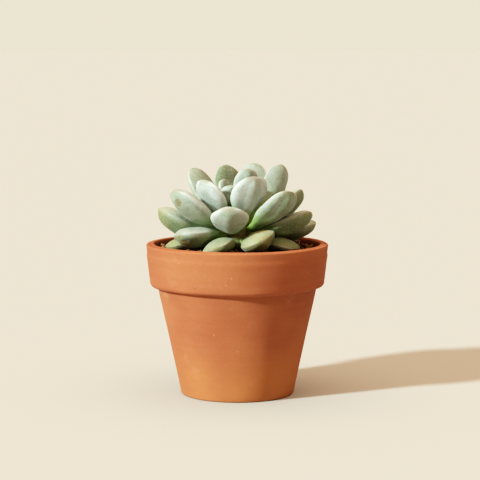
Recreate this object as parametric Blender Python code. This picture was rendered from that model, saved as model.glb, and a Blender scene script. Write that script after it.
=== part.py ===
"""A succulent rosette in a tapered clay pot.

Metres, +Z up. The origin is the centre of the pot's foot, on the surface that it stands on.
Azimuth 0 points to the front, -Y, and grows towards +X, the right.
"""

import math

import bmesh
import bpy
import numpy as np
from mathutils import Matrix, Vector
from mathutils.bvhtree import BVHTree

MM = 0.001

# Clay pot
RIM_RADIUS = 53.0 * MM
POT_HEIGHT = 89.0 * MM
FOOT_RADIUS = 33.4 * MM
COLLAR_HEIGHT = 25.2 * MM  # thick band round the rim
COLLAR_TAPER = 1.8 * MM  # how far the band draws in towards its lower edge
COLLAR_STEP = 4.6 * MM  # how far the band stands proud of the body below it
COLLAR_ROUND = 2.6 * MM
LIP_WIDTH = 4.6 * MM
LIP_ROUND = 1.3 * MM
WALL = 4.6 * MM
FLOOR = 6.5 * MM
FLOOR_ROUND = 4.0 * MM
FOOT_ROUND = 1.2 * MM
DRAIN_RADIUS = 6.0 * MM
POT_SEGMENTS = 64

# Potting mix
SEAT_GAP = 0.3 * MM  # between two pieces that rest on or in each other
SOIL_DROP = 5.0 * MM  # from the lip down to the mix, at the wall
SOIL_CROWN = 1.0 * MM  # how much higher the mix lies at the stem
SOIL_BUMP = 0.35 * MM
SOIL_SEGMENTS = 48

# Stem
STEM_RADIUS = 7.4 * MM
STEM_TOP = 20.0 * MM  # above the lip
STEM_DOME = 13.0 * MM  # length of the rounded top
STEM_BURIED = 14.0 * MM
STEM_SEGMENTS = 24

# Leaves
ROSETTE = 1.0  # size of every leaf against the lengths in the table below
LEAF_GAP = 0.5 * MM  # neighbours press each other and part by this much
LEAF_SIDES = 12
LEAF_STATIONS = (0.03, 0.11, 0.22, 0.34, 0.46, 0.58, 0.69, 0.79, 0.88, 0.945, 0.982)
NECK_WIDTH = 0.27  # share of the full width where a leaf leaves the stem
NECK_THICKNESS = 0.30
WIDEST_AT = 0.68  # share of the leaf's length
THICKEST_AT = 0.60
UPPER_SHARE = 0.40  # of the thickness, above the leaf's middle plane
KEEL = 0.10  # how much leaner the underside is beside its ridge
BEND_ROUNDS = 24  # whole rings of points give way
DENT_ROUNDS = 24  # then single points
STRIDE = 1.0 * MM  # the furthest that a point moves in one round
PROBE = Vector((0.36, 0.48, 0.80))  # direction of the ray that tells inside from outside


# name, azimuth and height of the seat above the lip, rise at the seat, curl towards the tip,
# length, width, thickness and roll; angles in degrees and lengths in millimetres
LEAVES = (
    ("heart_leaf_1", -18, 18.0, 62, 10, 18, 11, 6.5, 0),
    ("heart_leaf_2", 100, 18.5, 72, 6, 18, 11, 6.5, 0),
    ("heart_leaf_3", -140, 16.5, 66, 8, 21.5, 12.5, 6.5, 0),
    ("heart_leaf_4", -80, 17.0, 66, 6, 16, 11, 6.5, 0),
    ("heart_leaf_5", 22, 17.0, 62, 12, 29.5, 15, 7.5, 0),
    ("heart_leaf_6", 55, 19.3, 76, 4, 12, 8, 5, 0),
    ("heart_leaf_7", 165, 19.0, 74, 4, 13, 8.5, 5, 0),
    ("heart_leaf_8", -75, 19.4, 78, 4, 10.5, 7.5, 4.5, 0),
    ("upper_leaf_1", 17, 12.0, 46, 10, 37, 20.5, 9.5, 0),
    ("upper_leaf_2", -41, 12.5, 43, 12, 34, 19.5, 9.5, 0),
    ("upper_leaf_3", 76, 11.0, 40, 10, 22, 14, 7.5, 0),
    ("upper_leaf_4", 154, 13.0, 56, 12, 36.5, 16.5, 8.5, 0),
    ("upper_leaf_5", -165, 12.5, 54, 12, 36.5, 17, 8.5, 0),
    ("upper_leaf_6", 125, 10.0, 47, 14, 42.5, 19, 9.5, 0),
    ("upper_leaf_7", -128, 10.5, 45, 12, 41, 18, 9, 0),
    ("middle_leaf_1", -8, 7.5, 17, 18, 36, 21, 11, 0),
    ("middle_leaf_2", 47, 8.5, 20, 32, 41, 19.5, 9.5, -8),
    ("middle_leaf_3", -55, 8.5, 25, 18, 43.5, 20, 9.5, 0),
    ("middle_leaf_4", 103, 6.5, 28, 18, 39.5, 18, 9, 0),
    ("middle_leaf_5", 160, 8.0, 24, 18, 38, 19, 9.5, 0),
    ("middle_leaf_6", -150, 7.0, 18, 18, 38, 19, 9.5, 0),
    ("middle_leaf_7", -100, 7.5, 28, 16, 34, 17, 9, 0),
    ("lower_leaf_1", -52, 4.8, 0, 8, 35.5, 19, 10.5, -22),
    ("lower_leaf_2", -88, 4.5, 12, 20, 41.5, 20, 9.5, -14),
    ("lower_leaf_3", 72, 4.0, 14, 16, 40, 20, 9.5, -14),
    ("lower_leaf_4", 99, 2.5, 5, 16, 40, 18, 9, 0),
    ("lower_leaf_5", 133, 4.0, 8, 16, 39, 19, 9, 0),
    ("lower_leaf_6", 172, 4.5, 8, 16, 39, 20, 9.5, 0),
    ("lower_leaf_7", -128, 3.5, 3, 14, 37, 19, 9, 0),
    ("bottom_leaf_1", -22, 0.5, -4, 4, 30, 14, 8, 0),
    ("bottom_leaf_2", 23, 2.5, 2, 8, 33, 20, 10.5, 26),
    ("bottom_leaf_3", 58, -0.5, -4, 6, 33, 17, 8.5, 0),
    ("bottom_leaf_4", -76, -0.5, -4, 6, 35, 16, 8.5, 0),
    ("bottom_leaf_5", 116, -0.5, -4, 6, 31, 17, 8.5, 0),
    ("bottom_leaf_6", 152, 0.0, -4, 8, 35, 18, 8.5, 0),
    ("bottom_leaf_7", -166, -0.5, -4, 8, 35, 18, 8.5, 0),
    ("bottom_leaf_8", -120, 0.0, -4, 8, 33, 17, 8.5, 0),
)


def clear_scene():
    for obj in list(bpy.data.objects):
        bpy.data.objects.remove(obj, do_unlink=True)


def make_material(name, colour, roughness):
    material = bpy.data.materials.new(name)
    material.use_nodes = True
    shader = material.node_tree.nodes["Principled BSDF"]
    shader.inputs["Base Color"].default_value = (*colour, 1.0)
    shader.inputs["Roughness"].default_value = roughness
    shader.inputs["Metallic"].default_value = 0.0
    material.diffuse_color = (*colour, 1.0)
    return material


def add_object(name, mesh, material, place=None):
    """Links a closed mesh in world coordinates as an object whose origin is at its place."""
    mesh.name = name
    mesh.shade_smooth()
    mesh.set_sharp_from_angle(angle=math.radians(50))
    mesh.materials.append(material)
    obj = bpy.data.objects.new(name, mesh)
    bpy.context.scene.collection.objects.link(obj)
    if place:
        obj.matrix_world = place
        mesh.transform(place.inverted())
    return obj


def arc(centre, radius, start, end, steps):
    """Points (r, z) of a round corner, from one angle to another in degrees."""
    angles = np.radians(np.linspace(start, end, steps + 1))
    return [(centre[0] + radius * math.cos(a), centre[1] + radius * math.sin(a)) for a in angles]


def turned(outline, segments, lift=None):
    """Mesh of an outline of (r, z) turned round Z. An outline that touches the axis nowhere is a
    closed loop. lift(r, z, angle) raises a point."""
    form = bmesh.new()
    points = [form.verts.new((r, 0.0, z)) for r, z in outline]
    edges = [form.edges.new(pair) for pair in zip(points, points[1:])]
    if outline[0][0] > 0:
        edges.append(form.edges.new((points[-1], points[0])))
    bmesh.ops.spin(
        form, geom=points + edges, cent=(0, 0, 0), axis=(0, 0, 1), angle=2 * math.pi, steps=segments
    )
    bmesh.ops.remove_doubles(form, verts=form.verts, dist=0.01 * MM)
    bmesh.ops.recalc_face_normals(form, faces=form.faces)
    for point in form.verts if lift else ():
        x, y, z = point.co
        point.co.z += lift(math.hypot(x, y), z, math.atan2(y, x))
    mesh = bpy.data.meshes.new("turned")
    form.to_mesh(mesh)
    form.free()
    return mesh


def wall_radius_inside(z):
    """Radius of the pot's inner wall at height z."""
    top = RIM_RADIUS - LIP_WIDTH
    bottom = FOOT_RADIUS - WALL
    share = (z - FLOOR) / (POT_HEIGHT - FLOOR)
    return bottom + (top - bottom) * share


def pot_outline():
    top, collar_z = POT_HEIGHT, POT_HEIGHT - COLLAR_HEIGHT
    lip_in = RIM_RADIUS - LIP_WIDTH
    collar_low = RIM_RADIUS - COLLAR_TAPER
    body_top = collar_low - COLLAR_STEP
    outline = arc((RIM_RADIUS - LIP_ROUND, top - LIP_ROUND), LIP_ROUND, 90, 0, 3)
    outline += arc((collar_low - COLLAR_ROUND, collar_z + COLLAR_ROUND), COLLAR_ROUND, 0, -75, 4)
    outline.append((body_top, collar_z))
    outline += arc((FOOT_RADIUS - FOOT_ROUND, FOOT_ROUND), FOOT_ROUND, -10, -90, 2)
    outline.append((DRAIN_RADIUS, 0.0))
    outline.append((DRAIN_RADIUS, FLOOR))
    floor_edge = wall_radius_inside(FLOOR + FLOOR_ROUND)
    outline += arc((floor_edge - FLOOR_ROUND, FLOOR + FLOOR_ROUND), FLOOR_ROUND, -90, 0, 3)
    outline += arc((lip_in + LIP_ROUND, top - LIP_ROUND), LIP_ROUND, 180, 90, 3)
    return outline


def soil_height(r):
    """Height of the mix's top at radius r."""
    edge = POT_HEIGHT - SOIL_DROP
    return edge + SOIL_CROWN * math.cos(0.5 * math.pi * r / wall_radius_inside(edge))


def soil_bump(r, z, angle):
    """Small unevenness of the top, none at the wall, the socket and the sides."""
    if abs(z - soil_height(r)) > 1e-6:
        return 0.0
    wave = math.sin(3 * angle + 90 * r / MM) + math.sin(7 * angle - 1.3 * r / MM)
    wave += math.cos(5 * angle + 0.7 * r / MM)
    return SOIL_BUMP * wave / 3


def soil_outline():
    edge_z = POT_HEIGHT - SOIL_DROP
    base_z = FLOOR + SEAT_GAP
    edge_r = wall_radius_inside(edge_z) - SEAT_GAP
    corner_z = FLOOR + FLOOR_ROUND + SEAT_GAP
    corner_r = wall_radius_inside(corner_z) - SEAT_GAP
    socket_r = STEM_RADIUS + SEAT_GAP
    socket_z = POT_HEIGHT - SOIL_DROP - STEM_BURIED - SEAT_GAP
    outline = [(0.0, base_z)]
    outline += arc((corner_r - FLOOR_ROUND, base_z + FLOOR_ROUND), FLOOR_ROUND, -90, 0, 3)
    outline.append((edge_r, edge_z))
    steps = 6
    for k in range(steps + 1):
        r = edge_r - 1.0 * MM - (edge_r - 1.0 * MM - socket_r) * k / steps
        outline.append((r, soil_height(r)))
    outline.append((socket_r, socket_z))
    outline.append((0.0, socket_z))
    return outline


def stem_radius_at(z):
    """Radius of the stem at height z: a straight stem with a long rounded top."""
    dome_from = POT_HEIGHT + STEM_TOP - STEM_DOME
    if z <= dome_from:
        return STEM_RADIUS
    share = min(1.0, (z - dome_from) / STEM_DOME)
    return STEM_RADIUS * math.sqrt(max(0.0, 1 - share * share))


def stem_outline():
    foot = POT_HEIGHT - SOIL_DROP - STEM_BURIED
    dome_from = POT_HEIGHT + STEM_TOP - STEM_DOME
    outline = [(0.0, foot), (STEM_RADIUS - 1.0 * MM, foot), (STEM_RADIUS, foot + 1.0 * MM)]
    outline.append((STEM_RADIUS, dome_from))
    steps = 6
    for k in range(1, steps):
        angle = 0.5 * math.pi * k / steps
        outline.append((STEM_RADIUS * math.cos(angle), dome_from + STEM_DOME * math.sin(angle)))
    outline.append((0.0, dome_from + STEM_DOME))
    return outline


def ease(x):
    x = min(1.0, max(0.0, x))
    return x * x * (3 - 2 * x)


def swell(t, neck, fullest_at, tip_power, tip_blunt):
    """Share of the full size at t along a leaf: a narrow neck, a full middle and a short point."""
    if t < fullest_at:
        size = neck + (1 - neck) * ease(t / fullest_at)
    else:
        beyond = (t - fullest_at) / (1 - fullest_at)
        size = (1 - beyond**tip_power) ** tip_blunt
    return size * math.sqrt(min(1.0, t / 0.05))


def in_order(faces):
    """Corner numbers of each face, in an order that is the same in each run."""
    turns = []
    for face in faces:
        corners = [v.index for v in face.verts]
        first = corners.index(min(corners))
        turns.append(tuple(corners[first:] + corners[:first]))
    return sorted(turns)


def leaf_ball():
    """Faces of a ball that every leaf is shaped from, with each point's ring, from 0 at the base
    pole to the tip pole, and its angle round the ring."""
    rings = len(LEAF_STATIONS) + 1
    form = bmesh.new()
    bmesh.ops.create_uvsphere(form, u_segments=LEAF_SIDES, v_segments=rings, radius=1.0)
    form.verts.index_update()
    points = np.array([tuple(v.co) for v in form.verts])
    faces = in_order(form.faces)
    form.free()
    ring = np.rint(np.arccos(-points[:, 2].clip(-1, 1)) * rings / math.pi).astype(int)
    return faces, ring, np.arctan2(points[:, 1], points[:, 0])


def leaf_place(azimuth, seat):
    """Where a leaf leaves the stem, turned so that it grows along -Y."""
    turn = Matrix.Rotation(math.radians(azimuth), 4, "Z")
    z = POT_HEIGHT + seat
    return turn @ Matrix.Translation((0.0, -stem_radius_at(z) - SEAT_GAP, z))


def leaf_points(ring, around, place, rise, curl, length, width, thickness, roll):
    """The ball's points, with its rings carried along the leaf's curve."""
    stations = (0.0,) + LEAF_STATIONS + (1.0,)
    lean = math.radians(roll)
    y, z, before = 0.0, 0.0, 0.0
    frames = []
    for t in stations:
        middle = math.radians(rise + curl * (before + t) / 2)
        y -= math.cos(middle) * (t - before) * length
        z += math.sin(middle) * (t - before) * length
        before = t
        slope = math.radians(rise + curl * t)
        up = Vector((0.0, math.sin(slope), math.cos(slope)))
        side = Vector((math.cos(lean), 0.0, 0.0)) + up * math.sin(lean)
        top = up * math.cos(lean) - Vector((math.sin(lean), 0.0, 0.0))
        half = 0.5 * width * swell(t, NECK_WIDTH, WIDEST_AT, 2.2, 0.62)
        deep = thickness * swell(t, NECK_THICKNESS, THICKEST_AT, 2.4, 0.62)
        frames.append((Vector((0.0, y, z)), side * half, top * deep))
    points = []
    for number, angle in zip(ring, around):
        middle, side, top = frames[number]
        height = math.sin(angle)
        share = UPPER_SHARE if height > 0 else (1 - UPPER_SHARE) * (1 - KEEL * (1 - height**6))
        points.append(tuple(place @ (middle + side * math.cos(angle) + top * share * height)))
    return np.array(points)


def solid(points, faces):
    """A body to keep clear of: its search tree and its box."""
    return BVHTree.FromPolygons(points.tolist(), faces), points.min(axis=0), points.max(axis=0)


def push_out(points, body, gap):
    """Pushes on the points that lie inside a body, or nearer to it than the gap."""
    tree, low, high = body
    pushes = np.zeros_like(points)
    for k in np.flatnonzero(((points > low - gap) & (points < high + gap)).all(axis=1)):
        point = Vector(points[k])
        nearest, normal, _, distance = tree.find_nearest(point)
        away = point - nearest
        inside = away.dot(normal) < 0
        if inside:  # sure only if a ray leaves the body
            leaving = tree.ray_cast(point, PROBE)[1]
            inside = leaving is not None and leaving.dot(PROBE) > 0
        short = gap + distance if inside else gap - distance
        if short > 0:
            direction = normal if inside or distance < 1e-9 else away / distance
            pushes[k] = np.array(direction) * min(short, STRIDE)
    return pushes


def press_apart(leaves, faces, ring, fixed):
    """Bends and dents the leaves where they meet, until they clear each other and the fixed
    bodies. A leaf keeps its base pole."""
    last = len(LEAF_STATIONS) + 1
    in_ring = [ring == number for number in range(last + 1)]
    corners = np.array([face + face[:1] * (4 - len(face)) for face in faces])
    for step in range(BEND_ROUNDS + DENT_ROUNDS):
        bodies = {name: solid(points, faces) for name, points in leaves.items()}
        moves = {}
        for name, points in leaves.items():
            probes = np.vstack([points, points[corners].mean(axis=1)])
            pushes = sum(push_out(probes, body, SEAT_GAP) for body in fixed)
            for other, body in bodies.items():
                if other != name:
                    pushes += 0.5 * push_out(probes, body, LEAF_GAP)
            pushes, middles = pushes[: len(points)], pushes[len(points) :]
            for corner in corners.T:
                np.add.at(pushes, corner, 0.25 * middles)
            pushes[in_ring[0]] = 0.0
            if step < BEND_ROUNDS:
                busy = np.abs(pushes).max(axis=1) > 0
                shift = [pushes[own].sum(axis=0) / max(1, (busy & own).sum()) for own in in_ring]
                shift[last] = shift[last - 1]
                shift = np.array(shift)
                shift[1:-1] = 0.25 * shift[:-2] + 0.5 * shift[1:-1] + 0.25 * shift[2:]
                pushes = shift[ring]
            moves[name] = pushes
        for name, move in moves.items():
            leaves[name] = leaves[name] + move


def main():
    clear_scene()
    clay = make_material("terracotta", (0.62, 0.26, 0.12), 0.85)
    mix = make_material("potting_mix", (0.05, 0.03, 0.02), 0.95)
    bark = make_material("stem", (0.20, 0.22, 0.10), 0.80)
    skins = {
        "heart": make_material("young_leaf", (0.36, 0.48, 0.32), 0.60),
        "upper": make_material("leaf", (0.46, 0.55, 0.47), 0.60),
        "bottom": make_material("old_leaf", (0.48, 0.52, 0.32), 0.60),
    }
    kept = [
        add_object("pot", turned(pot_outline(), POT_SEGMENTS), clay),
        add_object("potting_mix", turned(soil_outline(), SOIL_SEGMENTS, soil_bump), mix),
        add_object("stem", turned(stem_outline(), STEM_SEGMENTS), bark),
    ]
    fixed = []
    for obj in kept:
        points = np.array([tuple(v.co) for v in obj.data.vertices])
        fixed.append(solid(points, [tuple(f.vertices) for f in obj.data.polygons]))
    faces, ring, around = leaf_ball()
    places, leaves = {}, {}
    for name, azimuth, seat, rise, curl, length, width, thickness, roll in LEAVES:
        sizes = [ROSETTE * MM * x for x in (length, width, thickness)]
        places[name] = leaf_place(azimuth, seat * MM)
        leaves[name] = leaf_points(ring, around, places[name], rise, curl, *sizes, roll)
    press_apart(leaves, faces, ring, fixed)
    for name, points in leaves.items():
        mesh = bpy.data.meshes.new(name)
        mesh.from_pydata([tuple(p) for p in points], [], faces)
        add_object(name, mesh, skins.get(name.split("_")[0], skins["upper"]), places[name])


main()
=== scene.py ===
import math

import bmesh
import bpy
import numpy as np
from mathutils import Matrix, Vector


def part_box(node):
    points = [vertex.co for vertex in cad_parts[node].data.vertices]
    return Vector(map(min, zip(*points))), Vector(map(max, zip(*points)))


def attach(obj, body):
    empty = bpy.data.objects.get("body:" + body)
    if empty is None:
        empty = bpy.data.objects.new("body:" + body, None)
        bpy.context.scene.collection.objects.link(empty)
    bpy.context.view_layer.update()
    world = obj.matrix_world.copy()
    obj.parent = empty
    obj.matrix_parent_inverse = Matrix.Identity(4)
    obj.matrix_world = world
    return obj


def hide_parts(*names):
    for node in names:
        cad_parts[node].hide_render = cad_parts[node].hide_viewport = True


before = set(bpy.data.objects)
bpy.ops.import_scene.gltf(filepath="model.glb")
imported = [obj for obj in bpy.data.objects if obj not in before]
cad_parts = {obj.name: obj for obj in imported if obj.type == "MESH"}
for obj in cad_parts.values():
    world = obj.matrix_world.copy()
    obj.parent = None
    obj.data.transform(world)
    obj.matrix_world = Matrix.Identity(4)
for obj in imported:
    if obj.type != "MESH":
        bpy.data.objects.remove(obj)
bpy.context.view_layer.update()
mm = 0.001
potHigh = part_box("pot")[1]
lipHeight, rimRadius = potHigh[2], potHigh[0]
print("frame loaded:", len(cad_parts), "nodes, lip at", round(lipHeight / mm, 1), "mm")


# Node trees


def fill(tree, socket, value):
    if isinstance(value, bpy.types.NodeSocket):
        tree.links.new(value, socket)
    else:
        socket.default_value = value


def add(tree, kind, inputs=(), **settings):
    node = tree.nodes.new(kind)
    for name, value in settings.items():
        setattr(node, name, value)
    for name, value in dict(inputs).items():
        fill(tree, node.inputs[name], value)
    return node


def calc(tree, operation, *values, clamp=False):
    node = add(tree, "ShaderNodeMath", operation=operation, use_clamp=clamp)
    for socket, value in zip(node.inputs, values):
        fill(tree, socket, value)
    return node.outputs[0]


def product(tree, first, *others):
    for other in others:
        first = calc(tree, "MULTIPLY", first, other)
    return first


def ramp(tree, value, low, high, first=0.0, last=1.0):  # eases from first to last between low and high
    node = add(tree, "ShaderNodeMapRange", interpolation_type="SMOOTHSTEP")
    for socket, number in zip(node.inputs, (value, low, high, first, last)):
        fill(tree, socket, number)
    return node.outputs[0]


def noise(tree, place, scale, detail=2.0, roughness=0.5):
    sizes = {"Vector": place, "Scale": scale, "Detail": detail, "Roughness": roughness}
    return add(tree, "ShaderNodeTexNoise", sizes).outputs[0]


def blend(tree, share, first, second, how="MIX"):
    node = add(tree, "ShaderNodeMix", data_type="RGBA", blend_type=how)
    for socket, value in zip((node.inputs[0], node.inputs[6], node.inputs[7]), (share, first, second)):
        fill(tree, socket, value)
    return node.outputs[2]


def move(tree, place, scales=(1, 1, 1), shift=(0, 0, 0)):
    scaled = add(tree, "ShaderNodeVectorMath", operation="MULTIPLY")
    fill(tree, scaled.inputs[0], place)
    fill(tree, scaled.inputs[1], scales)
    moved = add(tree, "ShaderNodeVectorMath", operation="ADD")
    fill(tree, moved.inputs[0], scaled.outputs[0])
    fill(tree, moved.inputs[1], shift)
    return moved.outputs[0]


def freckles(tree, place, scale, size, share):  # round dots in a share of the cells
    cells = add(tree, "ShaderNodeTexVoronoi", {"Vector": place, "Scale": scale}).outputs
    dots = ramp(tree, cells["Distance"], size, 0.6 * size)
    chosen = add(tree, "ShaderNodeSeparateColor", {"Color": cells["Color"]}).outputs[0]
    return calc(tree, "MULTIPLY", dots, calc(tree, "LESS_THAN", chosen, share))


def colour(red, green, blue):  # 0 to 255 as seen, to the shader's linear values
    shares = [c / 255 for c in (red, green, blue)]
    return (*[c / 12.92 if c <= 0.04045 else ((c + 0.055) / 1.055) ** 2.4 for c in shares], 1.0)


def newMaterial(name, fixed):
    material = bpy.data.materials.new(name)
    material.use_nodes = True
    tree = material.node_tree
    shader = tree.nodes["Principled BSDF"]
    for socket, value in fixed.items():
        shader.inputs[socket].default_value = value
    return material, tree, shader


def addBump(tree, shader, height, strength, distance):
    bump = add(tree, "ShaderNodeBump", {"Height": height, "Strength": strength, "Distance": distance})
    tree.links.new(bump.outputs[0], shader.inputs["Normal"])


def newGrowth(name, labels):  # a geometry tree with a named input for each size
    tree = bpy.data.node_groups.new(name, "GeometryNodeTree")
    tree.interface.new_socket("Geometry", in_out="INPUT", socket_type="NodeSocketGeometry")
    for label in labels:
        tree.interface.new_socket(label, in_out="INPUT", socket_type="NodeSocketFloat")
    tree.interface.new_socket("Geometry", in_out="OUTPUT", socket_type="NodeSocketGeometry")
    return tree, add(tree, "NodeGroupInput").outputs


def raiseSurface(tree, geometry, height):  # moves each point along its normal
    normal = add(tree, "GeometryNodeInputNormal").outputs[0]
    lift = add(tree, "ShaderNodeVectorMath", {"Vector": normal, "Scale": height}, operation="SCALE")
    sockets = {"Geometry": geometry, "Offset": lift.outputs[0]}
    return add(tree, "GeometryNodeSetPosition", sockets).outputs[0]


def finishGrowth(tree, geometry, material):
    smooth = add(tree, "GeometryNodeSetShadeSmooth", {"Geometry": geometry}).outputs[0]
    whole = add(tree, "GeometryNodeRealizeInstances", {"Geometry": smooth}).outputs[0]
    painted = add(tree, "GeometryNodeSetMaterial", {"Geometry": whole, "Material": material}).outputs[0]
    tree.links.new(painted, add(tree, "NodeGroupOutput").inputs[0])


def grow(name, mesh, tree, sizes, stoodFor=()):  # runs a tree and keeps its result as a piece
    piece = bpy.data.objects.new(name, mesh)
    bpy.context.scene.collection.objects.link(piece)
    modifier = piece.modifiers.new(name, "NODES")
    modifier.node_group = tree
    for socket in tree.interface.items_tree:
        if socket.in_out == "INPUT" and socket.name in sizes:
            modifier[socket.identifier] = float(sizes[socket.name])
    seen = bpy.context.evaluated_depsgraph_get()
    result = bpy.data.meshes.new_from_object(piece.evaluated_get(seen), depsgraph=seen)
    result.name = name
    piece.modifiers.clear()
    piece.data = result
    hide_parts(*stoodFor)
    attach(piece, "root")
    return piece


# Turned pieces: an outline of (radius, height) carried round a circle


def arc(centre, radius, start, end, steps=8):
    angles = np.radians(np.linspace(start, end, steps + 1))
    return [(centre[0] + radius * math.cos(a), centre[1] + radius * math.sin(a)) for a in angles]


def outlineMesh(outline, step, closed):  # cut up so that no edge is longer than the step
    corners = list(outline) + [outline[0]] * closed
    points = []
    for first, last in zip(corners, corners[1:]):
        count = max(1, math.ceil(math.dist(first, last) / step))
        points += [
            (first[0] + (last[0] - first[0]) * k / count, first[1] + (last[1] - first[1]) * k / count)
            for k in range(count)
        ]
    if not closed:
        points.append(corners[-1])
    edges = [(k, k + 1) for k in range(len(points) - 1)] + [(len(points) - 1, 0)] * closed
    mesh = bpy.data.meshes.new("outline")
    mesh.from_pydata([(r - rimRadius, -z, 0) for r, z in points], edges, [])
    return mesh


def turn(tree, source):  # the outline is drawn about the guide circle, which has the rim's radius
    profile = add(tree, "GeometryNodeMeshToCurve", {"Mesh": source["Geometry"]}).outputs[0]
    circle = {"Resolution": source["Segments"], "Radius": rimRadius}
    guide = add(tree, "GeometryNodeCurvePrimitiveCircle", circle).outputs[0]
    body = add(tree, "GeometryNodeCurveToMesh", {"Curve": guide, "Profile Curve": profile}).outputs[0]
    merged = {"Geometry": body, "Distance": 0.002 * mm}
    return add(tree, "GeometryNodeMergeByDistance", merged).outputs[0]


def polar(tree, place):  # radius and height of a position
    flat = add(tree, "ShaderNodeVectorMath", operation="LENGTH")
    fill(tree, flat.inputs[0], move(tree, place, (1, 1, 0)))
    return flat.outputs["Value"], add(tree, "ShaderNodeSeparateXYZ", {"Vector": place}).outputs["Z"]


# Clay pot

pot = {
    "footRadius": 33.4 * mm,
    "collarHeight": 25.2 * mm,
    "collarTaper": 1.8 * mm,
    "collarStep": 4.6 * mm,
    "collarRound": 2.6 * mm,
    "lipWidth": 4.6 * mm,
    "lipRound": 1.3 * mm,
    "flare": 0.9 * mm,  # how far the lip leans out past the collar's nominal size
    "wall": 4.6 * mm,
    "floor": 6.5 * mm,
    "floorRound": 4.0 * mm,
    "footRound": 1.2 * mm,
    "drainRadius": 6.0 * mm,
    "segments": 320,
    "wobble": 0.22 * mm,  # slow unevenness of a thrown wall
    "turning": 0.04 * mm,  # fine rings left by the shaping tool
    "ledgeDrop": 5.8 * mm,  # from the lip down to the faint ledge on the collar
    "ledge": 0.42 * mm,
    "chip": 0.45 * mm,
    "flatFoot": 3.0 * mm,  # height over which the unevenness sets in
    "edgeStep": 0.9 * mm,  # longest edge of the turned outline
}
clay = {
    "body": (colour(155, 87, 58), colour(168, 102, 69)),
    "streak": colour(178, 120, 86),
    "grain": colour(138, 76, 50),
    # lighter, yellower foot: partly lime bloom on the clay, partly painted light bounced up from the floor
    "foot": colour(178, 112, 68),
    "lime": colour(192, 152, 122),
    "darkSpeck": colour(96, 56, 38),
    "paleSpeck": colour(204, 160, 126),
    "paintedInnerShade": colour(84, 48, 32),  # painted shade on the inner wall, darker further down towards the mix
}


def wallInside(z):
    top, bottom = rimRadius - pot["lipWidth"], pot["footRadius"] - pot["wall"]
    return bottom + (top - bottom) * (z - pot["floor"]) / (lipHeight - pot["floor"])


def potOutline():
    collarZ, collarLow = lipHeight - pot["collarHeight"], rimRadius - pot["collarTaper"]
    bodyTop, lipIn = collarLow - pot["collarStep"], rimRadius - pot["lipWidth"]
    lip, foot, corner, edge = pot["lipRound"], pot["footRound"], pot["collarRound"], 0.5 * mm
    inside = wallInside(pot["floor"] + pot["floorRound"])
    outline = arc((rimRadius + pot["flare"] - lip, lipHeight - lip), lip, 90, 2)
    outline += arc((collarLow - corner, collarZ + corner), corner, 0, -84, 12)
    outline += arc((bodyTop + 0.9 * mm, collarZ - 0.9 * mm), 0.9 * mm, 100, 176, 5)
    outline += arc((pot["footRadius"] - foot, foot), foot, -8, -90, 6)
    outline += arc((pot["drainRadius"] + edge, edge), edge, -90, -180, 3)
    outline += arc((pot["drainRadius"] + edge, pot["floor"] - edge), edge, 180, 90, 3)
    outline += arc((inside - pot["floorRound"], pot["floor"] + pot["floorRound"]), pot["floorRound"], -90, -4)
    outline += arc((lipIn + lip, lipHeight - lip), lip, 176, 90)
    return outline


def terracotta():
    material, tree, shader = newMaterial("terracotta", {"Specular IOR Level": 0.25})
    place = add(tree, "ShaderNodeTexCoord").outputs["Object"]
    radius, height = polar(tree, place)
    clouds = noise(tree, place, 24, 3)
    streaks = noise(tree, move(tree, place, (9, 9, 520)), 1, 3, 0.6)
    grain = noise(tree, place, 1500, 2, 0.6)
    body = blend(tree, ramp(tree, clouds, 0.35, 0.68), *clay["body"])
    body = blend(tree, ramp(tree, streaks, 0.3, 0.75, 0.0, 0.12), body, clay["streak"])
    body = blend(tree, ramp(tree, grain, 0.35, 0.7, 0.0, 0.28), body, clay["grain"])
    # lighter towards the foot: partly lime bloom, partly painted floor-bounce light
    low = ramp(tree, height, 40 * mm, 4 * mm, 0.0, 0.9)
    body = blend(tree, product(tree, low, ramp(tree, clouds, 0.2, 0.7, 0.3, 1.0)), body, clay["foot"])
    lime = product(tree, ramp(tree, noise(tree, place, 70, 4, 0.6), 0.58, 0.8), 0.22)
    body = blend(tree, lime, body, clay["lime"])
    dark = freckles(tree, place, 420, 0.18, 0.07)
    body = blend(tree, product(tree, dark, 0.55), body, clay["darkSpeck"])
    pale = freckles(tree, move(tree, place, shift=(3, 5, 7)), 300, 0.16, 0.08)
    body = blend(tree, product(tree, pale, 0.35), body, clay["paleSpeck"])
    # painted shade on the inner wall inside the rim, growing darker further down
    slope = (wallInside(lipHeight) - wallInside(0)) / lipHeight
    inner = calc(tree, "ADD", product(tree, height, slope), wallInside(0))
    inner = ramp(tree, calc(tree, "SUBTRACT", radius, inner), 1.6 * mm, 0.8 * mm)
    paintedInnerShade = product(tree, inner, ramp(tree, height, lipHeight - 1.0 * mm, lipHeight - 3.5 * mm, 0.15, 0.85))
    body = blend(tree, paintedInnerShade, body, clay["paintedInnerShade"])
    tree.links.new(body, shader.inputs["Base Color"])
    fill(tree, shader.inputs["Roughness"], ramp(tree, clouds, 0.3, 0.7, 0.78, 0.92))
    pores = freckles(tree, place, 900, 0.3, 0.35)
    surface = calc(tree, "SUBTRACT", calc(tree, "ADD", grain, product(tree, streaks, 0.3)), pores)
    addBump(tree, shader, surface, 0.35, 0.12 * mm)
    return material


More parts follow.
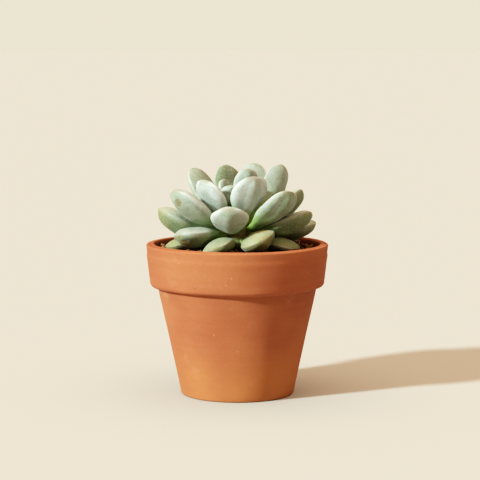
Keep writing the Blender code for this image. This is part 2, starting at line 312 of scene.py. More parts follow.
def potGrowth(material):
    labels = ("Segments", "Wobble", "Turning", "Ledge Height", "Ledge", "Chip")
    tree, source = newGrowth("turnedPot", labels)
    place = add(tree, "GeometryNodeInputPosition").outputs[0]
    radius, height = polar(tree, place)
    standing = ramp(tree, height, 0.2 * mm, pot["flatFoot"])  # the foot stays flat on the floor
    swell = ramp(tree, noise(tree, place, 20, 1), 0.2, 0.8, -1, 1)
    swell = product(tree, swell, source["Wobble"], standing)
    rings = ramp(tree, noise(tree, move(tree, place, (5, 5, 620)), 1, 2), 0.2, 0.8, -1, 1)
    rings = product(tree, rings, source["Turning"], standing)
    outside = ramp(tree, radius, rimRadius - 3.4 * mm, rimRadius - 2.6 * mm)
    below = calc(tree, "SUBTRACT", source["Ledge Height"], height)
    ledge = product(tree, ramp(tree, below, -0.3 * mm, 0.3 * mm, -1, 0), source["Ledge"], outside)
    nearLip = ramp(tree, height, lipHeight - 2.5 * mm, lipHeight - 0.4 * mm)
    chips = ramp(tree, noise(tree, place, 170, 3), 0.66, 0.76)
    chips = product(tree, chips, nearLip, source["Chip"], -1)
    relief = calc(tree, "ADD", calc(tree, "ADD", swell, rings), calc(tree, "ADD", ledge, chips))
    finishGrowth(tree, raiseSurface(tree, turn(tree, source), relief), material)
    return tree


potSizes = {
    "Segments": pot["segments"],
    "Wobble": pot["wobble"],
    "Turning": pot["turning"],
    "Ledge Height": lipHeight - pot["ledgeDrop"],
    "Ledge": pot["ledge"],
    "Chip": pot["chip"],
}
potMesh = outlineMesh(potOutline(), pot["edgeStep"], closed=True)
potPiece = grow("clay_pot", potMesh, potGrowth(terracotta()), potSizes, ["pot"])
print("pot turned:", len(potPiece.data.polygons), "faces")


# Potting mix, with its crumbs, perlite and bark

mix = {
    "drop": 3.9 * mm,
    "crown": 1.0 * mm,
    "lumps": 1.5 * mm,
    "lumpSize": 5.0 * mm,
    "segments": 256,
    "stemRadius": 7.4 * mm,
    "stemBuried": 14.0 * mm,
    "edgeStep": 1.1 * mm,
}
scatters = {  # grains per square metre; radii and sinking in mm; how flat and long a grain is
    "mix_crumbs": dict(density=330e3, least=0.35, greatest=1.5, flat=0.75, long=1.2, sink=0.1, seed=3),
    "perlite_grains": dict(density=5e3, least=0.7, greatest=1.7, flat=0.8, long=1.1, sink=-0.3, seed=11),
    "bark_chips": dict(density=5e3, least=0.9, greatest=2.2, flat=0.35, long=1.9, sink=-0.3, seed=23),
}


def mixHeight(r):
    edge = lipHeight - mix["drop"]
    return edge + mix["crown"] * math.cos(0.5 * math.pi * r / wallInside(edge))


def mixOutline():
    edgeZ, base = lipHeight - mix["drop"], pot["floor"] + 0.1 * mm
    edgeR, cornerR = wallInside(edgeZ), wallInside(pot["floor"] + pot["floorRound"])
    socketR, socketZ = mix["stemRadius"] + 0.2 * mm, edgeZ - mix["stemBuried"] - 0.2 * mm
    outline = [(0.0, socketZ), (socketR, socketZ)]
    outline += [(r, mixHeight(r)) for r in np.linspace(socketR, edgeR - 0.5 * mm, 24)]
    outline.append((edgeR, edgeZ - 0.4 * mm))
    outline += arc((cornerR - pot["floorRound"], base + pot["floorRound"]), pot["floorRound"], 0, -90)
    outline.append((0.0, base))
    return outline


def soil(name, dark, light, roughness):
    material, tree, shader = newMaterial(name, {"Roughness": roughness, "Specular IOR Level": 0.2})
    place = add(tree, "ShaderNodeTexCoord").outputs["Object"]
    shade = add(tree, "ShaderNodeAttribute", attribute_name="shade").outputs["Fac"]
    patches = noise(tree, place, 420, 4, 0.7)
    mixed = calc(tree, "ADD", product(tree, shade, 0.5), product(tree, patches, 0.75))
    body = blend(tree, ramp(tree, mixed, 0.25, 0.95), dark, light)
    pits = freckles(tree, place, 1800, 0.3, 0.4)
    body = blend(tree, product(tree, pits, 0.5), body, dark)
    tree.links.new(body, shader.inputs["Base Color"])
    addBump(tree, shader, noise(tree, place, 1600, 3, 0.7), 0.6, 0.25 * mm)
    return material


def mixGrowth(material):
    tree, source = newGrowth("potting", ("Segments", "Lumps", "Lump Size", "Edge Radius"))
    place = add(tree, "GeometryNodeInputPosition").outputs[0]
    radius, height = polar(tree, place)
    scale = calc(tree, "DIVIDE", 1.0, source["Lump Size"])
    lumps = ramp(tree, noise(tree, place, scale, 4, 0.6), 0.25, 0.75, -1, 1)
    fromWall = calc(tree, "SUBTRACT", source["Edge Radius"], radius)
    nearTop = ramp(tree, height, lipHeight - 9 * mm, lipHeight - 5.5 * mm)
    relief = product(tree, lumps, ramp(tree, fromWall, 0.2 * mm, 2 * mm), nearTop, source["Lumps"])
    finishGrowth(tree, raiseSurface(tree, turn(tree, source), relief), material)
    return tree


def scatterGrowth(name, material):
    labels = ("Density", "Least", "Greatest", "Flat", "Long", "Sink", "Edge Radius", "Seed")
    tree, source = newGrowth(name, labels)
    place = add(tree, "GeometryNodeInputPosition").outputs[0]
    radius, height = polar(tree, place)
    top = calc(tree, "GREATER_THAN", height, lipHeight - 9 * mm)
    reach = calc(tree, "SUBTRACT", source["Edge Radius"], source["Greatest"])
    chosen = {"Mesh": source["Geometry"], "Density": source["Density"], "Seed": source["Seed"]}
    chosen["Selection"] = product(tree, top, calc(tree, "LESS_THAN", radius, reach))
    spots = add(tree, "GeometryNodeDistributePointsOnFaces", chosen).outputs
    lean = add(tree, "FunctionNodeRandomValue", {"Seed": source["Seed"]}, data_type="FLOAT_VECTOR")
    lean.inputs[1].default_value = (6.3, 6.3, 6.3)  # radians: a whole turn about each axis
    share = add(tree, "FunctionNodeRandomValue", {"Seed": calc(tree, "ADD", source["Seed"], 1)}).outputs[1]
    span = calc(tree, "SUBTRACT", source["Greatest"], source["Least"])
    size = calc(tree, "ADD", source["Least"], product(tree, calc(tree, "POWER", share, 2.2), span))
    shape = add(tree, "ShaderNodeCombineXYZ", {"X": source["Long"], "Y": 1.0, "Z": source["Flat"]}).outputs[0]
    scaled = add(tree, "ShaderNodeVectorMath", {"Vector": shape, "Scale": size}, operation="SCALE").outputs[0]
    grain = add(tree, "GeometryNodeMeshIcoSphere", {"Radius": 1.0, "Subdivisions": 1}).outputs[0]
    sockets = {"Points": spots["Points"], "Instance": grain, "Rotation": lean.outputs[0], "Scale": scaled}
    grains = add(tree, "GeometryNodeInstanceOnPoints", sockets).outputs[0]
    tint = add(tree, "FunctionNodeRandomValue", {"Seed": calc(tree, "ADD", source["Seed"], 2)}).outputs[1]
    named = {"Geometry": grains, "Name": "shade", "Value": tint}
    grains = add(tree, "GeometryNodeStoreNamedAttribute", named, domain="INSTANCE").outputs[0]
    loose = add(tree, "GeometryNodeRealizeInstances", {"Geometry": grains}).outputs[0]
    bend = add(tree, "ShaderNodeTexNoise", {"Vector": place, "Scale": 900.0, "Detail": 1.0}).outputs[1]
    push = move(tree, move(tree, bend, shift=(-0.5, -0.5, -0.5)), (1.4 * mm, 1.4 * mm, 1.4 * mm))
    loose = add(tree, "GeometryNodeSetPosition", {"Geometry": loose, "Offset": push}).outputs[0]
    lift = add(tree, "ShaderNodeCombineXYZ", {"Z": source["Sink"]}).outputs[0]
    loose = add(tree, "GeometryNodeSetPosition", {"Geometry": loose, "Offset": lift}).outputs[0]
    finishGrowth(tree, loose, material)
    return tree


edgeRadius = wallInside(lipHeight - mix["drop"])
mixSizes = {
    "Segments": mix["segments"],
    "Lumps": mix["lumps"],
    "Lump Size": mix["lumpSize"],
    "Edge Radius": edgeRadius,
}
mixLook = soil("potting_mix", colour(30, 20, 13), colour(88, 60, 40), 0.95)
mixMesh = outlineMesh(mixOutline(), mix["edgeStep"], closed=False)
mixPiece = grow("mix_body", mixMesh, mixGrowth(mixLook), mixSizes, ["potting_mix"])
grainLooks = {
    "mix_crumbs": soil("crumbs", colour(34, 22, 14), colour(144, 102, 66), 0.95),
    "perlite_grains": soil("perlite", colour(176, 168, 152), colour(226, 221, 208), 0.85),
    "bark_chips": soil("bark", colour(70, 44, 28), colour(140, 98, 64), 0.9),
}
for name, size in scatters.items():
    grainSizes = {
        "Density": size["density"],
        "Least": size["least"] * mm,
        "Greatest": size["greatest"] * mm,
        "Flat": size["flat"],
        "Long": size["long"],
        "Sink": size["sink"] * mm,
        "Edge Radius": edgeRadius,
        "Seed": size["seed"],
    }
    tree = scatterGrowth(name, grainLooks[name])
    piece = grow(name, mixPiece.data.copy(), tree, grainSizes)
    print(name, "scattered:", len(piece.data.polygons), "faces")


# Stem

stem = {
    "radius": mix["stemRadius"],
    "top": 20.0 * mm,  # above the lip
    "dome": 13.0 * mm,  # height of its rounded top
    "segments": 96,
    "scars": 0.35 * mm,
    "edgeStep": 0.6 * mm,
}


def stemOutline():
    foot = lipHeight - mix["drop"] - mix["stemBuried"]
    domeFrom = lipHeight + stem["top"] - stem["dome"]
    angles = np.radians(np.linspace(90, 0, 19))
    outline = [(stem["radius"] * math.cos(a), domeFrom + stem["dome"] * math.sin(a)) for a in angles]
    outline[0] = (0.0, outline[0][1])
    return outline + [(stem["radius"], foot + mm), (stem["radius"] - mm, foot), (0.0, foot)]


def stemSkin():
    material, tree, shader = newMaterial("stem", {"Roughness": 0.7})
    place = add(tree, "ShaderNodeTexCoord").outputs["Object"]
    patches = noise(tree, move(tree, place, (1, 1, 2.2)), 260, 4, 0.6)
    body = blend(tree, ramp(tree, patches, 0.35, 0.65), colour(112, 96, 62), colour(140, 146, 84))
    scars = ramp(tree, noise(tree, move(tree, place, (60, 60, 420)), 1, 2), 0.55, 0.65)
    body = blend(tree, product(tree, scars, 0.6), body, colour(150, 120, 84))
    tree.links.new(body, shader.inputs["Base Color"])
    addBump(tree, shader, patches, 0.5, 0.3 * mm)
    return material


def stemGrowth(material):
    tree, source = newGrowth("stemTurned", ("Segments", "Scars"))
    place = add(tree, "GeometryNodeInputPosition").outputs[0]
    scars = noise(tree, move(tree, place, (60, 60, 420)), 1, 2)
    relief = product(tree, ramp(tree, scars, 0.3, 0.7, -1, 1), source["Scars"])
    finishGrowth(tree, raiseSurface(tree, turn(tree, source), relief), material)
    return tree


stemMesh = outlineMesh(stemOutline(), stem["edgeStep"], closed=False)
stemSizes = {"Segments": stem["segments"], "Scars": stem["scars"]}
grow("stem_body", stemMesh, stemGrowth(stemSkin()), stemSizes, ["stem"])
print("stem turned")


# Leaves: each one is a cage laid through its solid's points, smoothed and then shaped

leafSkin = {
    "sides": 12,  # points round each ring of a leaf's solid
    "level": 3,
    "fitRounds": 6,
    "keel": 0.85,  # ridge along the underside; heights in mm, along the surface's normal
    "keelWidth": 0.50,  # share of the half width
    "flank": 0.40,  # how much the underside is pressed in beside its ridge
    "crown": 0.60,  # swell of the upper face
    "margin": 0.55,  # crisp edge between the upper face and the underside
    "ripple": 0.14,
    "rippleSize": 9.0,
    "grain": 0.03,
    "grainSize": 1.6,
    "point": 0.5,  # small point at the tip, in mm on a leaf of pointLength
    "pointLength": 0.04,
    "fullRelief": 0.036,  # a shorter leaf has shallower relief
    "neck": 0.35,  # share of the length over which a turn or a fuller section sets in
    "blunt": 0.75,  # how far the last third fills out to a round end
    "widestAt": 0.68,  # share of the length
}
rows = {  # finish, age (0 young to 1 old) and share of the full relief for each row of leaves
    "heart": dict(slot="young_leaf", age=0.05, relief=0.45),
    "upper": dict(slot="leaf", age=0.15, relief=0.85),
    "middle": dict(slot="leaf", age=0.35, relief=1.0),
    "lower": dict(slot="leaf", age=0.6, relief=1.0),
    "bottom": dict(slot="old_leaf", age=0.8, relief=0.8),
}
# What sets single leaves apart from their row. twist: degrees that a leaf turns about its length,
# on top of its solid. plump: how much fuller its section is than its solid's. bloomLossAndShade: share
# of the bloom taken off, partly bloom that is lost and partly painted shade on leaves that lie in the shade
# of others. blunt, keel and crown: shares of leafSkin's values, and a crown below 0 is
# hollow. scuff: share of the length, of the half width, side (1 upper, -1 under), size, depth in mm.
ownWays = {
    "heart_leaf_3": dict(twist=20, crown=-0.6, bloomLossAndShade=0.3),
    "heart_leaf_5": dict(bloomLossAndShade=0.15),
    "upper_leaf_1": dict(twist=10, plump=1.08, blunt=0.65),
    "upper_leaf_2": dict(twist=-8, plump=1.05),
    "upper_leaf_4": dict(twist=18, bloomLossAndShade=0.45),
    "upper_leaf_5": dict(twist=20, plump=1.08, blunt=0.4, crown=-1.2, bloomLossAndShade=0.8),
    "upper_leaf_6": dict(twist=76, plump=0.75, bloomLossAndShade=0.40),
    "upper_leaf_7": dict(plump=1.08, bloomLossAndShade=0.55),
    "middle_leaf_1": dict(twist=6, blunt=0.6, keel=0.35),
    "middle_leaf_2": dict(plump=1.08, keel=0.7, age=0.45, bloomLossAndShade=0.20),
    "middle_leaf_3": dict(plump=1.2, bloomLossAndShade=0.12, scuff=(0.88, 0.30, -1, 0.06, 0.25)),
    # the higher age here partly stands for painted shade on this leaf at the shaded right
    "middle_leaf_4": dict(twist=-25, age=0.65, bloomLossAndShade=0.35),
    "lower_leaf_1": dict(twist=32, plump=1.05, bloomLossAndShade=0.20, scuff=(0.90, 0.20, -1, 0.10, 0.3)),
    "lower_leaf_2": dict(
        twist=18, plump=1.28, blunt=0.1, age=0.8, bloomLossAndShade=0.42, scuff=(0.62, -0.35, 1, 0.20, 0.2)
    ),
    # the higher ages here are partly real browning, partly painted shade on these leaves at the shaded right
    "lower_leaf_3": dict(age=0.7, bloomLossAndShade=0.30),
    "lower_leaf_4": dict(age=1.0, bloomLossAndShade=0.30, scuff=(0.93, 0.0, 1, 0.12, 0.2)),
    "bottom_leaf_1": dict(twist=20, plump=1.3, bloomLossAndShade=0.15),
    "bottom_leaf_2": dict(age=0.95, bloomLossAndShade=0.25, scuff=(0.74, 0.35, 1, 0.13, 0.3)),
    "bottom_leaf_3": dict(age=0.35, bloomLossAndShade=0.6),
    "bottom_leaf_4": dict(age=0.95, bloomLossAndShade=0.5),
}


def own(node, label, usual):
    return ownWays.get(node, {}).get(label, usual)


def walkRing(ring):
    order = [ring[0]]
    while len(order) < len(ring):
        beside = [edge.other_vert(order[-1]) for edge in order[-1].link_edges]
        order.append(next(v for v in beside if v in ring and v not in order))
    return [tuple(v.co) for v in order]


def readRings(node):  # the base point, the rings of points round the leaf, and the tip point
    sides = leafSkin["sides"]
    form = bmesh.new()
    form.from_mesh(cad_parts[node].data)
    bmesh.ops.remove_doubles(form, verts=form.verts, dist=0.001 * mm)
    poles = [v for v in form.verts if len(v.link_edges) == sides]
    base, tip = sorted(poles, key=lambda v: v.co.xy.length)
    layer, seen, rings = [base], {base}, []
    while layer[0] is not tip:
        near = [edge.other_vert(v) for v in layer for edge in v.link_edges]
        layer = [v for v in dict.fromkeys(near) if v not in seen]
        seen.update(layer)
        rings.append(layer)
    grid = np.array([walkRing(ring) for ring in rings[:-1]])
    ends = np.array([tuple(base.co), tuple(tip.co)])
    form.free()
    return ends[0], grid, ends[1]


def alignRings(base, grid, tip):  # all rings turn the same way and start at the leaf's left edge
    half = leafSkin["sides"] // 2
    spine = np.vstack([base, grid.mean(axis=1), tip])
    for k, ring in enumerate(grid):
        arms = ring - spine[k + 1]
        if np.cross(arms, np.roll(arms, -1, axis=0)).sum(axis=0) @ (spine[k + 2] - spine[k]) < 0:
            arms = arms[::-1]
        if k:
            turns = [np.linalg.norm(np.roll(arms, s, axis=0) - before) for s in range(2 * half)]
            arms = np.roll(arms, int(np.argmin(turns)), axis=0)
        before = arms
        grid[k] = arms + spine[k + 1]
    widths = np.linalg.norm(grid - np.roll(grid, half, axis=1), axis=2)
    k, start = np.unravel_index(widths.argmax(), widths.shape)
    outward = spine[k + 1] * (1, 1, 0) / np.hypot(*spine[k + 1][:2])
    above = np.cross(spine[k + 2] - spine[k], grid[k, start] - spine[k + 1])
    if above @ (np.array((0, 0, 1)) - outward) < 0:
        start += half
    return np.roll(grid, -start, axis=1), spine


def settled(cage):  # where smoothing moves the cage's points, by the weights of their neighbours
    sideways = np.roll(cage, 1, axis=1) + np.roll(cage, -1, axis=1)
    result = cage.copy()
    result[1:-1] = 16 * cage[1:-1] + 4 * (sideways[1:-1] + cage[:-2] + cage[2:])
    result[1:-1] = (result[1:-1] + sideways[:-2] + sideways[2:]) / 36
    result[0] = 0.706 * cage[0] + 0.294 * cage[1].mean(axis=0)
    result[-1] = 0.706 * cage[-1] + 0.294 * cage[-2].mean(axis=0)
    return result


def fuller(along, node):  # how much wider than its solid a leaf is, towards its round end
    beyond = np.clip((along - leafSkin["widestAt"]) / (1 - leafSkin["widestAt"]), 0, 0.999)
    share = (1 - beyond**2.6) ** 0.42 / (1 - beyond**2.2) ** 0.62
    return 1 + (share - 1) * leafSkin["blunt"] * own(node, "blunt", 1)


def cageMesh(node, age):
    base, grid, tip = readRings(node)
    grid, spine = alignRings(base, grid, tip)
    sides, count = leafSkin["sides"], len(grid)
    target = np.stack([np.tile(base, (sides, 1)), *grid, np.tile(tip, (sides, 1))])
    steps = np.linalg.norm(np.diff(spine, axis=0), axis=1)
    along = np.concatenate([[0], np.cumsum(steps)]) / steps.sum()
    heading = np.gradient(spine, axis=0)
    heading /= np.linalg.norm(heading, axis=1)[:, None]
    beyondNeck = np.clip(along / leafSkin["neck"], 0, 1)
    swing = math.radians(own(node, "twist", 0)) * beyondNeck
    full = fuller(along, node) * (1 + (own(node, "plump", 1) - 1) * beyondNeck)
    arms = (target - spine[:, None]) * full[:, None, None]
    turned = np.cross(heading[:, None], arms) * np.sin(swing)[:, None, None]
    target = spine[:, None] + arms * np.cos(swing)[:, None, None] + turned
    cage = target.copy()
    for _ in range(leafSkin["fitRounds"]):  # until the smoothed surface meets the target
        cage += target - settled(cage)
    ahead = (spine[-1] - spine[-3]) / np.linalg.norm(spine[-1] - spine[-3])
    cage[-1] += ahead * leafSkin["point"] * mm * steps.sum() / leafSkin["pointLength"]
    points = [cage[0, 0], *cage[1:-1].reshape(-1, 3), cage[-1, 0]]
    last = len(points) - 1
    faces = []
    for i in range(sides):
        j = (i + 1) % sides
        faces.append((0, 1 + j, 1 + i))
        faces.append((last, last - sides + i, last - sides + j))
        for k in range(count - 1):
            low, high = 1 + k * sides, 1 + (k + 1) * sides
            faces.append((low + i, low + j, high + j, high + i))
    mesh = bpy.data.meshes.new(node)
    mesh.from_pydata([tuple(p) for p in points], [], faces)
    angles = np.arange(sides) * 2 * math.pi / sides
    fields = {
        "along": np.concatenate([[0], np.repeat(along[1:-1], sides), [1]]),
        "across": np.concatenate([[0], np.tile(np.cos(angles), count), [0]]),
        "facing": np.concatenate([[0], np.tile(np.sin(angles), count), [0]]),
        "age": np.full(len(points), age),
        "bloomLossAndShade": np.full(len(points), own(node, "bloomLossAndShade", 0.0)),
    }
    for label, values in fields.items():
        mesh.attributes.new(label, "FLOAT", "POINT").data.foreach_set("value", values)
    return mesh, steps.sum()


def leafGrowth(material):
    labels = ("Level", "Keel", "Keel Width", "Flank", "Crown", "Margin")
    labels += ("Ripple", "Ripple Size", "Grain", "Grain Size")
    labels += ("Scuff Along", "Scuff Across", "Scuff Side", "Scuff Size", "Scuff Depth")
    tree, source = newGrowth("leafShape", labels)

    def field(name):
        return add(tree, "GeometryNodeInputNamedAttribute", {"Name": name}, data_type="FLOAT").outputs[0]

    def spread(scale, detail):
        return ramp(tree, noise(tree, place, calc(tree, "DIVIDE", 1.0, scale), detail), 0.2, 0.8, -1, 1)

    place = add(tree, "GeometryNodeInputPosition").outputs[0]
    along, across, facing = field("along"), field("across"), field("facing")
    smooth = {"Mesh": source["Geometry"], "Level": source["Level"]}
    fine = add(tree, "GeometryNodeSubdivisionSurface", smooth).outputs[0]
    aside = calc(tree, "ABSOLUTE", across)
    under = ramp(tree, facing, -0.15, -0.75)
    upper = ramp(tree, facing, 0.1, 0.85)
    stretch = product(tree, ramp(tree, along, 0.30, 0.62), ramp(tree, along, 1.0, 0.9))
    tent = calc(tree, "SUBTRACT", 1.0, calc(tree, "DIVIDE", aside, source["Keel Width"]), clamp=True)
    keel = product(tree, calc(tree, "POWER", tent, 1.25), under, stretch, source["Keel"])
    flank = product(tree, ramp(tree, aside, 0.1, 0.5), ramp(tree, aside, 0.95, 0.6), under, stretch)
    flank = product(tree, flank, source["Flank"], -1)
    crown = product(tree, ramp(tree, aside, 0.9, 0.0), upper, stretch, source["Crown"])
    edge = calc(tree, "ABSOLUTE", calc(tree, "SUBTRACT", facing, 0.12))
    edge = calc(tree, "SUBTRACT", 1.0, calc(tree, "DIVIDE", edge, 0.30), clamp=True)
    edge = product(tree, calc(tree, "POWER", edge, 1.3), ramp(tree, aside, 0.3, 0.7))
    edge = product(tree, edge, stretch, source["Margin"])
    ripple = product(tree, spread(source["Ripple Size"], 1.0), source["Ripple"])
    grain = product(tree, spread(source["Grain Size"], 2.0), source["Grain"])
    gapAlong = calc(tree, "SUBTRACT", along, source["Scuff Along"])
    gapAcross = product(tree, calc(tree, "SUBTRACT", across, source["Scuff Across"]), 0.35)
    gap = calc(tree, "ADD", product(tree, gapAlong, gapAlong), product(tree, gapAcross, gapAcross))
    gap = calc(tree, "DIVIDE", calc(tree, "SQRT", gap), source["Scuff Size"])
    gap = calc(tree, "ADD", gap, product(tree, spread(0.003, 3.0), 0.35))
    onSide = ramp(tree, product(tree, facing, source["Scuff Side"]), 0.0, 0.3)
    scuffed = calc(tree, "GREATER_THAN", source["Scuff Depth"], 0.0)
    scuff = product(tree, ramp(tree, gap, 1.1, 0.5), onSide, scuffed)
    dent = product(tree, scuff, source["Scuff Depth"], -1)
    named = {"Geometry": fine, "Name": "scuff", "Value": scuff}
    fine = add(tree, "GeometryNodeStoreNamedAttribute", named).outputs[0]
    relief = calc(tree, "ADD", calc(tree, "ADD", keel, flank), calc(tree, "ADD", crown, dent))
    relief = calc(tree, "ADD", calc(tree, "ADD", relief, edge), calc(tree, "ADD", ripple, grain))
    finishGrowth(tree, raiseSurface(tree, fine, relief), material)
    return tree


leafLooks = {  # cover: how much bloom lies on the flesh
    "young_leaf": dict(
        base=colour(130, 164, 62),
        flesh=colour(92, 112, 80),
        old=colour(132, 142, 88),
        # darker than the outer leaves' bloom, partly as painted shade for the heart deep in the rosette
        bloom=colour(164, 172, 166),
        cover=0.92,
    ),
    "leaf": dict(
        base=colour(128, 166, 46),
        flesh=colour(84, 104, 60),
        old=colour(116, 116, 52),
        bloom=colour(198, 202, 201),
        cover=0.91,
    ),
    "old_leaf": dict(
        base=colour(116, 146, 36),
        flesh=colour(84, 102, 40),
        old=colour(134, 124, 52),
        bloom=colour(178, 182, 172),
        cover=0.62,
    ),
}
leafPaints = {
    # painted shade: darker, greyer bloom for old leaves, most on their undersides, with some real dulling of
    # old bloom
    "shadedOldBloom": colour(132, 128, 104),
    "powder": colour(226, 230, 224),
    # pale margins: partly the leaf's own pale edge, partly a painted highlight
    "paleRimHighlight": colour(222, 222, 206),
    "oldRim": colour(140, 116, 78),
    "specks": colour(104, 84, 52),
    "scuffs": colour(138, 108, 66),
    "tip": colour(140, 118, 92),
}


def leafMaterial(name, look):
    fixed = {
        "Roughness": 0.62,
        "Specular IOR Level": 0.35,
        "Subsurface Weight": 0.12,
        "Subsurface Scale": 0.003,
        "Sheen Weight": 0.15,
        "Sheen Roughness": 0.4,
    }
    material, tree, shader = newMaterial(name, fixed)

    def field(label):
        return add(tree, "ShaderNodeAttribute", attribute_name=label).outputs["Fac"]

    place = add(tree, "ShaderNodeTexCoord").outputs["Object"]
    along, across, facing = map(field, ("along", "across", "facing"))
    age, bloomLossAndShade, scuff = map(field, ("age", "bloomLossAndShade", "scuff"))
    aside = calc(tree, "ABSOLUTE", across)
    clouds, patches = noise(tree, place, 90, 2), noise(tree, place, 240, 4, 0.6)
    powder = noise(tree, place, 1300, 3, 0.65)
    flesh = blend(tree, ramp(tree, along, 0.25, 0.72), look["base"], look["flesh"])
    aged = product(tree, age, ramp(tree, clouds, 0.35, 0.65, 0.25, 0.9))
    flesh = blend(tree, aged, flesh, look["old"])
    crest = product(tree, ramp(tree, facing, -0.7, -0.97), ramp(tree, along, 0.45, 0.8))
    reach = calc(tree, "ADD", along, ramp(tree, clouds, 0.3, 0.7, -0.10, 0.10))
    cover = product(tree, ramp(tree, reach, 0.16, 0.60), ramp(tree, along, 1.0, 0.93, 0.6, 1.0))
    under = product(tree, ramp(tree, facing, 0.1, -0.4), ramp(tree, age, 0.1, 0.7, 0.05, 0.75))
    cover = product(tree, cover, calc(tree, "SUBTRACT", 1.0, under))
    # less bloom on upper faces: painted shade against the bright overhead light
    cover = product(tree, cover, ramp(tree, facing, 0.2, 0.8, 1.0, 0.8))
    rubbed = ramp(tree, noise(tree, move(tree, place, shift=(1, 2, 3)), 330, 5, 0.7), 0.60, 0.72)
    # the per-leaf share of bloom taken off is partly lost bloom and partly painted shade on leaves in the
    # shade of others
    for loss, share in ((crest, 0.30), (age, 0.30), (rubbed, 0.45), (scuff, 0.6), (bloomLossAndShade, 1.0)):
        cover = product(tree, cover, calc(tree, "SUBTRACT", 1.0, product(tree, loss, share)))
    cover = product(tree, cover, ramp(tree, patches, 0.30, 0.62, 0.68, 1.0), look["cover"])
    # old leaves' bloom darkened, most on the undersides: painted shade, with some real dulling of old bloom
    oldUndersideShade = product(tree, age, ramp(tree, facing, 0.5, -0.6, 0.1, 0.35))
    body = blend(tree, cover, flesh, blend(tree, oldUndersideShade, look["bloom"], leafPaints["shadedOldBloom"]))
    body = blend(tree, ramp(tree, powder, 0.4, 0.75, 0.0, 0.22), body, leafPaints["powder"])
    # pale margins: partly the leaf's own pale edge, partly a painted highlight
    rim = product(tree, ramp(tree, aside, 0.90, 0.99), ramp(tree, along, 0.3, 0.6))
    rim = product(tree, rim, ramp(tree, clouds, 0.3, 0.6, 0.12, 0.3))
    rimPaint = blend(tree, ramp(tree, age, 0.5, 0.8), leafPaints["paleRimHighlight"], leafPaints["oldRim"])
    body = blend(tree, rim, body, rimPaint)
    specks = product(tree, freckles(tree, place, 380, 0.17, 0.16), ramp(tree, clouds, 0.45, 0.6))
    specks = product(tree, specks, ramp(tree, age, 0.2, 0.7, 0.15, 0.8))
    body = blend(tree, specks, body, leafPaints["specks"])
    scar = product(tree, scuff, ramp(tree, patches, 0.3, 0.6, 0.3, 0.7))
    body = blend(tree, scar, body, leafPaints["scuffs"])
    body = blend(tree, ramp(tree, along, 0.975, 0.999, 0.0, 0.45), body, leafPaints["tip"])
    tree.links.new(body, shader.inputs["Base Color"])
    height = calc(tree, "ADD", product(tree, powder, 0.6), patches)
    addBump(tree, shader, height, 0.22, 0.15 * mm)
    return material


growths = {name: leafGrowth(leafMaterial(name, look)) for name, look in leafLooks.items()}
for node in sorted(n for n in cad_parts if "_leaf_" in n):
    row = rows[node.split("_")[0]]
    mesh, length = cageMesh(node, own(node, "age", row["age"]))
    depth = row["relief"] * mm * min(1.0, length / leafSkin["fullRelief"])
    scuff = own(node, "scuff", (0.5, 0, 1, 0.1, 0))
    leafSizes = {
        "Level": leafSkin["level"],
        "Keel": own(node, "keel", 1) * leafSkin["keel"] * depth,
        "Keel Width": leafSkin["keelWidth"],
        "Flank": leafSkin["flank"] * depth,
        "Crown": own(node, "crown", 1) * leafSkin["crown"] * depth,
        "Margin": leafSkin["margin"] * depth,
        "Ripple": leafSkin["ripple"] * depth,
        "Ripple Size": leafSkin["rippleSize"] * mm,
        "Grain": leafSkin["grain"] * depth,
        "Grain Size": leafSkin["grainSize"] * mm,
        "Scuff Along": scuff[0],
        "Scuff Across": scuff[1],
        "Scuff Side": scuff[2],
        "Scuff Size": scuff[3],
        "Scuff Depth": scuff[4] * mm,
    }
    grow(node + "_skin", mesh, growths[row["slot"]], leafSizes, [node])
print("leaves grown")


# Floor, light and camera

studio = {
    "paper": colour(183, 180, 172),
    "paperRadius": 60.0,
    "horizon": (0.71, 0.65, 0.50, 1.0),  # the room's light, by height: level with the floor,
    "walls": (0.08, 0.06, 0.06, 1.0),  # half way up
    "ceiling": (1.70, 1.26, 0.91, 1.0),  # and overhead
    "sunTowards": (-0.752, -0.490, 0.443),
    "sunColour": (0.82, 1.0, 1.0),
    "sunStrength": 4.9,
    "sunWidth": 5.0,  # degrees
    "filmPower": 1.4,  # the view's tone curve: how deep the shade is
    "filmShoulder": 0.5,  # and how softly the light end levels off
    "lens": 132.2,
    "sensor": 36.0,
    "sideShift": 0.0056,  # share of the frame's width
    "eye": (0.0, -1.03, 0.2043),
    "lookDown": 6.30,  # degrees
}


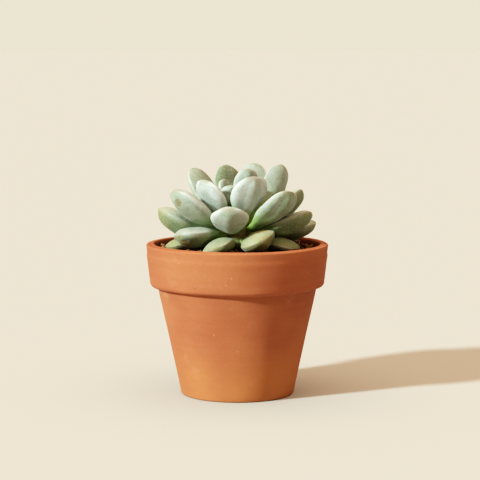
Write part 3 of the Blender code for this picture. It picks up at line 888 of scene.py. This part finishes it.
def backdrop():
    form = bmesh.new()
    bmesh.ops.create_circle(form, cap_ends=True, segments=96, radius=studio["paperRadius"])
    mesh = bpy.data.meshes.new("backdrop")
    form.to_mesh(mesh)
    form.free()
    material, tree, shader = newMaterial("paper", {"Roughness": 1.0, "Specular IOR Level": 0.0})
    place = add(tree, "ShaderNodeTexCoord").outputs["Object"]
    tone = ramp(tree, noise(tree, place, 900, 2), 0.3, 0.7, 0.98, 1.0)
    tree.links.new(blend(tree, 1.0, studio["paper"], tone, "MULTIPLY"), shader.inputs["Base Color"])
    mesh.materials.append(material)
    floor = bpy.data.objects.new("backdrop", mesh)
    floor.location.z = -0.05 * mm
    bpy.context.scene.collection.objects.link(floor)


def roomLight():
    world = bpy.data.worlds.new("room")
    bpy.context.scene.world = world
    world.use_nodes = True
    tree = world.node_tree
    towards = add(tree, "ShaderNodeTexCoord").outputs["Generated"]
    up = add(tree, "ShaderNodeSeparateXYZ", {"Vector": towards}).outputs["Z"]
    light = blend(tree, ramp(tree, up, 0.05, 0.22), studio["horizon"], studio["walls"])
    light = blend(tree, ramp(tree, up, 0.45, 0.85), light, studio["ceiling"])
    tree.links.new(light, tree.nodes["Background"].inputs["Color"])


def filmTone():  # deepens the shade and rolls the lights off
    view = bpy.context.scene.view_settings
    view.view_transform = "Standard"
    view.use_curve_mapping = True
    power, shoulder = studio["filmPower"], studio["filmShoulder"]
    for x in np.linspace(0, 1, 17)[1:-1] ** 2:
        y = (1 + shoulder) * x**power / (x**power + shoulder)
        view.curve_mapping.curves[3].points.new(x, y)
    view.curve_mapping.update()


backdrop()
roomLight()
filmTone()
sun = bpy.data.lights.new("window", "SUN")
sun.color = studio["sunColour"]
sun.energy = studio["sunStrength"]
sun.angle = math.radians(studio["sunWidth"])
lamp = bpy.data.objects.new("window", sun)
lamp.rotation_euler = Vector(studio["sunTowards"]).to_track_quat("Z", "Y").to_euler()
bpy.context.scene.collection.objects.link(lamp)

camera = bpy.data.cameras.new("camera")
camera.lens = studio["lens"]
camera.sensor_width = studio["sensor"]
camera.shift_x = studio["sideShift"]
eye = bpy.data.objects.new("camera", camera)
eye.location = studio["eye"]
eye.rotation_euler = (math.radians(90 - studio["lookDown"]), 0.0, 0.0)
bpy.context.scene.collection.objects.link(eye)
bpy.context.scene.camera = eye
print("studio set")
